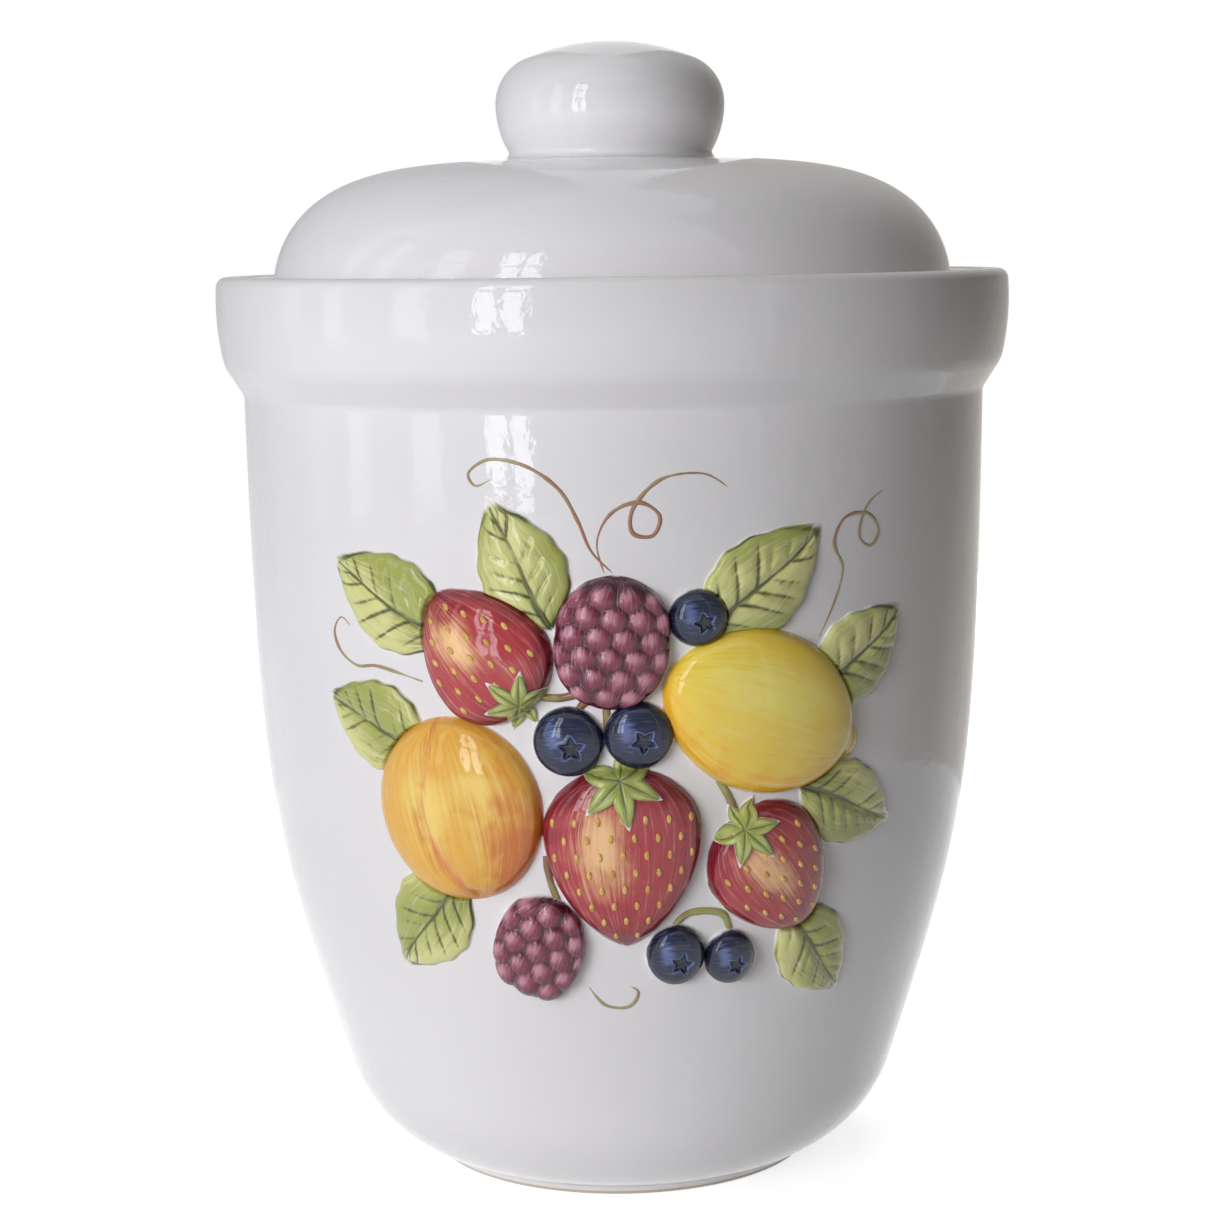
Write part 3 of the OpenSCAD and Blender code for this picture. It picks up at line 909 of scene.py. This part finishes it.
bramble_paint = fruit_paint("bramble_paint", bramble_tones, length=3.5, width=0.6, thin=0.1)
bramble_heights = []
for i, (at, size, turn) in enumerate(zip(bramble_at, bramble_size, bramble_turn), start=1):
    first = first_row - size[0] / 2
    last = size[0] / 2 - drupelet_over
    places = staggered(size, berry_edge, first, last, drupelet_row, drupelet, -drupelet_over)
    lit = to_local(*dab_at, (0, 0), turn)

    def bramble_crown(u, v, size=size, places=places):
        dx, dy = nearest((u - 0.5) * size[0], v * berry_edge(u) * size[1] / 2, places)
        ball = np.sqrt(np.maximum(1 - (dx**2 + dy**2) / ball_r**2, 0))
        body = swell(berry_edge(u), v)
        return bramble_relief * (body_share * body + ball_share * ball * np.minimum(body * ball_rise, 1))

    def bramble_marks(u, v, x, y, places=places, lit=lit):
        dx, dy = nearest(x, y, places)
        far = np.hypot(dx, dy) / (drupelet / 2)
        gap = np.clip(far - gap_from, 0, gap_over) / gap_over
        return dab_light * spot(dx, dy, lit, (dab_r, dab_r)), gap_dark * gap

    bramble_heights.append(sprig(
        f"bramble_sprig_{i}", f"bramble_{i}", bramble_paint, at, size, turn,
        berry_edge, bramble_crown, bramble_marks, rows=170, cols=140))

# Blueberries
# Five small round sprigs with the star of the calyx round a dimple. Nearly black navy, with a painted
# highlight stroked on in light blue at the upper left of each berry.
blueberry_at = [(-10.8, 7.8), (4.6, 9.2), (13.5, -42.7), (27, -44), (17.6, 35.2)]
blueberry_d = [15, 14.4, 13.5, 12, 12]
star_turn = np.radians((20, 50, 5, 75, 35))
blueberry_relief = 5
# The painted highlight in light blue: its middle and reach by the berry's diameter, and its strength.
highlight_at = (-0.2, 0.12)
highlight_reach = (0.13, 0.24)
highlight_strength = 0.8
rim_light = 0.7
hollow_dark = 0.95
edge_dark = 0.5
blueberry_tones = ((0.13, 0.19, 0.42), (0.014, 0.022, 0.062), (0.006, 0.008, 0.022))
star_points = 5
star_sharp = 1.6
star_soft = 0.4
star_r = 0.21
star_reach = 0.17
star_rim = 0.055
star_lift = 0.09
star_hollow = 0.2
star_at = (0.12, -0.1)
blueberry_paint = fruit_paint("blueberry_paint", blueberry_tones, length=5, width=0.5, thin=0.05)
blueberry_heights = []
for i, (at, diameter, star) in enumerate(zip(blueberry_at, blueberry_d, star_turn), start=1):
    def calyx(u, v, star=star):
        """The raised rim of the five-pointed star and the hollow inside it, 0 to 1 each."""
        x, y = 2 * u - 1 - star_at[0], v * round_edge(u) - star_at[1]
        far = np.hypot(x, y)
        point = np.abs((star_points * (np.arctan2(y, x) - star) / (2 * pi)) % 1 * 2 - 1)
        beyond = far - star_r - star_reach * point**star_sharp
        return hill(beyond, star_rim), 1 / (1 + np.exp(beyond / (star_soft * star_rim)))

    def blueberry_crown(u, v, calyx=calyx):
        rim, hollow = calyx(u, v)
        return blueberry_relief * swell(round_edge(u), v) * (1 + star_lift * rim - star_hollow * hollow)

    def blueberry_marks(u, v, x, y, diameter=diameter, calyx=calyx):
        rim, hollow = calyx(u, v)
        far = (x**2 + y**2) / (diameter / 2) ** 2
        # A painted highlight at the upper left of the berry, kept out of the star's hollow.
        highlight = spot(x / diameter, y / diameter, highlight_at, highlight_reach)
        light = highlight_strength * highlight * (1 - hollow) + rim_light * rim
        return light, hollow_dark * hollow * (1 - rim) + edge_dark * far

    blueberry_heights.append(sprig(
        f"blueberry_sprig_{i}", f"blueberry_{i}", blueberry_paint, at,
        (diameter, diameter), 0, round_edge, blueberry_crown, blueberry_marks, rows=120, cols=100))

# Leaves
# Eight thin sprigs with a folded midrib and shallow side veins, their roots tucked behind the fruit.
# Lime washed with olive, then the midrib, veins and outline drawn loosely with a dark green brush.
leaf_root = [(-44, 4), (19, 31), (43, -5), (-38, -25), (-38, 30), (45, 15), (41, -35), (-14, 33)]
leaf_size = [(32, 20), (37, 21), (31, 19), (33, 21), (36, 21), (33, 19), (31, 19), (32, 19)]
leaf_turn = np.radians((160, 40, -22, -132, 152, 36, -46, 116))
leaf_cover = [
    [apricot_height],
    [lemon_height, blueberry_heights[4]],
    [lemon_height, strawberry_heights[1]],
    [apricot_height],
    [strawberry_heights[2]],
    [lemon_height],
    [strawberry_heights[1]],
    [strawberry_heights[2], bramble_heights[1]],
]
leaf_relief = 2.6
tuck_depth = 1.2
vein_starts = (0.1, 0.24, 0.38, 0.52, 0.66, 0.79)
vein_lean = 0.22
vein_reach = 0.82
vein_w = 0.5
vein_furrow_w = 0.9
vein_furrow = 0.45
vein_shift = 0.03
vein_bow = 0.85
vein_slope = 0.8
vein_uneven = 0.15
vein_fade = 0.3
vein_taper = 0.3
vein_press = (0.65, 0.35)
midrib_bend = 0.05
midrib_end = 0.93
midrib_w = 0.62
midrib_taper = 0.4
midrib_furrow_w = 0.16
fold_depth = 0.33
outline_at = 0.32
outline_w = 0.26
outline_wave = (0.55, 0.45, 9, 3, 4)  # middle, swing, turns along, across and by the leaf
wash_wave = (0.48, 0.5, 3.1, 2.2, 5)
outline_dark = 0.9
line_dark = 0.95
root_dark = 0.35
root_reach = 0.2
leaf_belly = 0.82
leaf_point = 0.95
leaf_wave = 0.022
leaf_waves = 5.5
leaf_tones = ((0.69, 0.70, 0.27), (0.38, 0.42, 0.095), (0.085, 0.098, 0.02))
rng = np.random.default_rng(7)


def leaf_edge(u):
    wavy = 1 + leaf_wave * np.sin(2 * pi * leaf_waves * u)
    return np.sin(pi * u**leaf_belly) ** leaf_point * wavy


def tucked(rise, covers):
    """A leaf's height that sinks to the wall where the fruit covers it."""
    def height(across, up):
        cover = sum(over(across, up) for over in covers)
        return rise(across, up) * (1 - np.clip(cover / tuck_depth, 0, 1))
    return height


def veins(u, v, size, wobble):
    """The midrib and side veins: a soft furrow for the clay, and the brushed lines over them."""
    bend = midrib_bend * np.sin(2 * pi * u + wobble[0])
    aside = np.abs(v - bend)
    furrow = hill(aside, midrib_furrow_w)
    off_line = (v - bend) * size[1] / 2 * leaf_edge(u)
    line = hill(off_line, midrib_w - midrib_taper * u) * (u < midrib_end)
    for k, start in enumerate(vein_starts):
        for side in (-1, 1):
            shift = wobble[1 + 2 * k + (side > 0)]
            far = (u - start - vein_shift * shift - vein_lean * aside**vein_bow) * size[0] * vein_slope
            left = vein_reach + vein_uneven * shift - aside
            shown = (side * (v - bend) > 0) * np.clip(left / vein_fade, 0, 1)
            furrow = np.maximum(furrow, vein_furrow * hill(far, vein_furrow_w) * shown)
            stroke = hill(far, vein_w - vein_taper * aside) * shown
            line = np.maximum(line, stroke * (vein_press[0] + vein_press[1] * shift))
    return furrow, line


def wavering(u, v, shift, wave):
    """A tone that comes and goes over a leaf, not the same on any two leaves."""
    middle, swing, along, across, by_leaf = wave
    return middle + swing * np.sin(along * u + across * v + by_leaf * shift)


leaf_paint = fruit_paint("leaf_paint", leaf_tones, length=9, width=0.9, thin=0.22)
for i, (root, size, turn, covers) in enumerate(zip(leaf_root, leaf_size, leaf_turn, leaf_cover), start=1):
    wobble = rng.uniform(-1, 1, 1 + 2 * len(vein_starts))
    at = to_spray(size[0] / 2, 0, root, turn)
    plan = (at, grown(size), turn, leaf_edge)

    def leaf_crown(u, v, size=size, wobble=wobble):
        furrow = veins(u, v, size, wobble)[0]
        return leaf_relief * swell(leaf_edge(u), v, power=0.6) * (1 - fold_depth * furrow)

    def leaf_marks(u, v, x, y, size=size, wobble=wobble):
        line = veins(u, v, size, wobble)[1]
        rim = leaf_edge(u) ** 2 * (1 - v * v) * size[1] / 4
        broken = wavering(u, v, wobble[0], outline_wave)
        outline = outline_dark * hill(rim - outline_at, outline_w) * broken
        light = wavering(u, v, wobble[1], wash_wave)
        return light * (1 - line), np.maximum(line_dark * line, outline) + root_dark * hill(u, root_reach)

    leaf = loft(*plan, tucked(sprig_height(*plan, leaf_crown), covers), leaf_marks, rows=190, cols=120)
    moulded(f"leaf_sprig_{i}", [leaf], leaf_paint, f"leaf_{i}")

# Stalks and tendrils
# Stalks are thin coils of clay luted between the fruit; tendrils are only drawn on the wall with a
# fine brush, brown and olive, pressing harder in the middle of each stroke.
stalks = [
    [(1.4, 2.5), (-1.2, 6.5), (-2.4, 14), (-2, 20)],
    [(-9, 14.5), (-5.5, 18.5), (-2.4, 21)],
    [(4.4, 15.5), (2.4, 18.8), (-1, 21)],
    [(-18.5, 17.8), (-12, 17.6), (-6, 19.6)],
    [(27, -10.5), (25, -5.6), (22.4, -2)],
    [(13, -36), (17, -33), (24.5, -33.6), (27, -38)],
    [(-14.5, -30), (-16.2, -25), (-17, -19)],
]
tendrils = [
    [(-2, 44), (-4, 52), (-1, 58.5), (5, 61), (9.5, 58), (8, 53.6), (3.6, 54.4), (4, 60), (10, 66),
     (19, 67), (25, 63.5)],
    [(1, 44), (-5, 50), (-8, 57), (-12, 64), (-19, 69), (-27, 70.5), (-32, 67.5), (-30.5, 64.6), (-27, 66)],
    [(47, 29), (51, 37), (53, 44), (50.5, 50), (53.5, 55.5), (60, 56), (63.5, 52), (61, 48.6),
     (57.6, 51.4), (60, 58), (67, 62)],
    [(-45, 20), (-52, 21.6), (-58, 22.6), (-64, 22.2), (-69, 25), (-71, 29.5), (-68.5, 33), (-65.6, 31.4)],
    [(-8, -51), (-4, -55.5), (2, -56), (4.5, -52.4), (1.6, -50.4)],
]
brush_lines = {  # routes, radius, its share at the ends, depth in the wall, tones, scale of the tones
    "stalk": (stalks, 1.05, 0.75, 0.2, ((0.25, 0.13, 0.06), (0.36, 0.36, 0.12)), 90.0),
    "tendril": (tendrils, 0.56, 0.6, 0.3, ((0.36, 0.17, 0.10), (0.36, 0.36, 0.17)), 45.0),
}
line_step = 0.5 * mm
press_full = 0.8
shake_span = (0.8, 1.12)

path, path_in, path_out = node_group(
    "brush_line",
    [("Geometry", "Geometry"), ("Float", "Radius"), ("Float", "Ends"), ("Material", "Paint")],
    [("Geometry", "Geometry")],
    "Geometry",
)
line = add(path, "GeometryNodeMeshToCurve", {"Mesh": path_in["Geometry"]})["Curve"]
line = add(path, "GeometryNodeCurveSplineType", {"Curve": line}, spline_type="CATMULL_ROM")["Curve"]
line = add(path, "GeometryNodeResampleCurve", {"Curve": line, "Length": line_step}, mode="LENGTH")["Curve"]
along = add(path, "GeometryNodeSplineParameter")["Factor"]
arch = math_node(path, "SINE", math_node(path, "MULTIPLY", along, pi))
press = between(path, arch, 0.0, press_full, path_in["Ends"], 1.0, step="LINEAR")
line_place = add(path, "GeometryNodeInputPosition")["Position"]
shake = noise(path, line_place, scale=190.0, detail=1.0)
shake = between(path, shake, *noise_span, *shake_span, step="LINEAR")
press = math_node(path, "MULTIPLY", math_node(path, "MULTIPLY", press, shake), path_in["Radius"])
circle = add(path, "GeometryNodeCurvePrimitiveCircle", {"Resolution": 12, "Radius": 1.0})["Curve"]
line = add(path, "GeometryNodeCurveToMesh",
           {"Curve": line, "Profile Curve": circle, "Scale": press, "Fill Caps": True})["Mesh"]
painted_shape(path, line, path_in, path_out)


def brushed(name, routes, radius, ends, sunk, material):
    """Lines along routes on the wall, each route a list of places on the spray."""
    points, edges = [], []
    for route in routes:
        start = len(points)
        points += list(on_wall(*np.transpose(route), -sunk))
        edges += [(start + k, start + k + 1) for k in range(len(route) - 1)]
    mesh = bpy.data.meshes.new(name + "_route")
    mesh.from_pydata(points, edges, [])
    grown_from(mesh, path, name, {"Radius": radius * mm, "Ends": ends, "Paint": material})


for kind, (routes, radius, ends, sunk, tones, scale) in brush_lines.items():
    brushed(kind + "s", routes, radius, ends, sunk, brush_paint(kind + "_paint", tones, scale))

# Studio
# A pale table that is dull away from the pot, a tall window with glazing bars to the left of the camera
# with soft daylight beside it, and a ceiling light and a second window behind. The room's sides stand
# only in the glaze's reflections, as sheets glowing in mid grey with painted light of the room, which
# keeps the white edges clear of the background.
room_light = 0.06
room_tint = (1.0, 0.90, 0.76)
floor_reach = 6.0
table_near = ((0.84, 0.84, 0.84), (0.88, 0.88, 0.88))
table_far = (0.32, 0.32, 0.32)
table_fade = (0.12, 0.34)
glow_fade = (0.1, 0.42)
glow_span = (0.68, 1.0)
daylight = (0.955, 0.958, 1.0)
window_distance = 0.95
window_bottom = 0.06
window_height = 0.84
window_rows = 3
glazing_bar = 0.03
window_angle = (-26, -33.5, -55, -80)
window_width = (0.09, 0.09, 0.16, 0.12)
window_watts = (1.15, 1.15, 0.6, 0.3)
soft_lights = {  # angle, distance, height, size, watts
    "daylight": (-32, 1.3, 0.3, (0.9, 0.18), 8.4),
    "ceiling": (175, 0.5, 1.2, (0.9, 0.9), 6.0),
    "far_window": (168, 1.2, 0.15, (1.0, 0.3), 9.0),
}
pot_middle = 0.14
side_height = 1.4
side_fade = 0.3
side_foot = 2.0
side_steps = 33
side_patches = (0.85, 1.15)
room_sides = {  # first angle, last angle, distance, tone
    "dark_side": (40, 172, 0.42, (0.42, 0.40, 0.37)),
    "camera_side": (-95, 40, 1.4, (0.45, 0.44, 0.43)),
    "window_side": (-172, -95, 0.42, (0.50, 0.50, 0.52)),
}


def seen(tree):
    """1 for what the camera, gloss and glass see, 0 for the light that falls on things."""
    rays = add(tree, "ShaderNodeLightPath")
    direct = math_node(tree, "MAXIMUM", rays["Is Camera Ray"], rays["Is Glossy Ray"])
    return math_node(tree, "MAXIMUM", direct, rays["Is Transmission Ray"])


world = bpy.data.worlds.new("room")
bpy.context.scene.world = world
world.use_nodes = True
tree = world.node_tree
direct = seen(tree)
colour = blend(tree, direct, room_tint, (1.0, 1.0, 1.0))
strength = between(tree, direct, 0.0, 1.0, room_light, 1.0, step="LINEAR")
fill(tree, tree.nodes["Background"].inputs, {"Color": colour, "Strength": strength})

table, tree, shader = new_material("table")
place = object_place(tree)
away = add(tree, "ShaderNodeVectorMath", {0: place}, operation="LENGTH")["Value"]
tone = blend(tree, noise(tree, place, scale=40.0, detail=3.0), *table_near)
tone = blend(tree, between(tree, away, *table_fade), tone, table_far)
glow = math_node(tree, "MULTIPLY", between(tree, away, *glow_fade, *glow_span), seen(tree))
fill(tree, shader, {"Base Color": tone, "Roughness": 0.9, "Specular IOR Level": 0.0,
                    "Emission Color": (1, 1, 1, 1), "Emission Strength": glow})
corners = [(x * floor_reach, y * floor_reach, 0) for x, y in ((-1, -1), (1, -1), (1, 1), (-1, 1))]
floor = placed("floor", shaped("floor", corners, [(0, 1, 2, 3)], table))


def room_side(name, first, last, distance, tone):
    """A tall curved side of the room, glowing in mid grey as painted light, which only the glaze mirrors.
    """
    turns = np.radians(np.linspace(first, last, side_steps))
    points = [(distance * sin(a), -distance * cos(a), z) for z in (0, side_height) for a in turns]
    count = side_steps
    faces = [(k, k + 1, count + k + 1, count + k) for k in range(count - 1)]
    paint, tree, shader = new_material(name)
    place = object_place(tree)
    height = add(tree, "ShaderNodeSeparateXYZ", {"Vector": place})["Z"]
    patches = between(tree, noise(tree, place, scale=3.0), *noise_span, *side_patches)
    # The side glows by itself, in patches and brighter towards its foot: painted light of the room.
    lit = math_node(tree, "MULTIPLY", patches, between(tree, height, 0.0, side_fade, side_foot, 1.0))
    fill(tree, shader, {"Base Color": (0, 0, 0, 1), "Specular IOR Level": 0.0,
                        "Emission Color": (*tone, 1), "Emission Strength": lit})
    side = placed(name, shaped(name, points, faces, paint))
    side.visible_camera = side.visible_diffuse = side.visible_shadow = False


for name, side in room_sides.items():
    room_side(name, *side)


def soft_light(name, angle, distance, z, aim_z, size, watts, mirrored):
    """A flat light at an angle from the camera's side that faces a height on the pot's axis."""
    light = bpy.data.lights.new(name, "AREA")
    light.shape = "RECTANGLE"
    light.size, light.size_y = size
    light.energy = watts
    light.color = daylight
    lamp = placed(name, light)
    turn = radians(angle)
    at = Vector((distance * sin(turn), -distance * cos(turn), z))
    aim = (Vector((0, 0, aim_z)) - at).to_track_quat("-Z", "Y")
    lamp.matrix_world = Matrix.Translation(at) @ aim.to_matrix().to_4x4()
    lamp.visible_camera = False
    lamp.visible_glossy = mirrored


row_height = (window_height + glazing_bar) / window_rows
for i, (angle, width, watts) in enumerate(zip(window_angle, window_width, window_watts), start=1):
    for row in range(window_rows):
        z = window_bottom + (row + 0.5) * row_height - glazing_bar / 2
        size = (width, row_height - glazing_bar)
        soft_light(f"window_{i}_{row}", angle, window_distance, z, z, size, watts / window_rows, True)
for name, (angle, distance, z, size, watts) in soft_lights.items():
    soft_light(name, angle, distance, z, pot_middle, size, watts, False)

bpy.context.scene.view_settings.view_transform = "Standard"
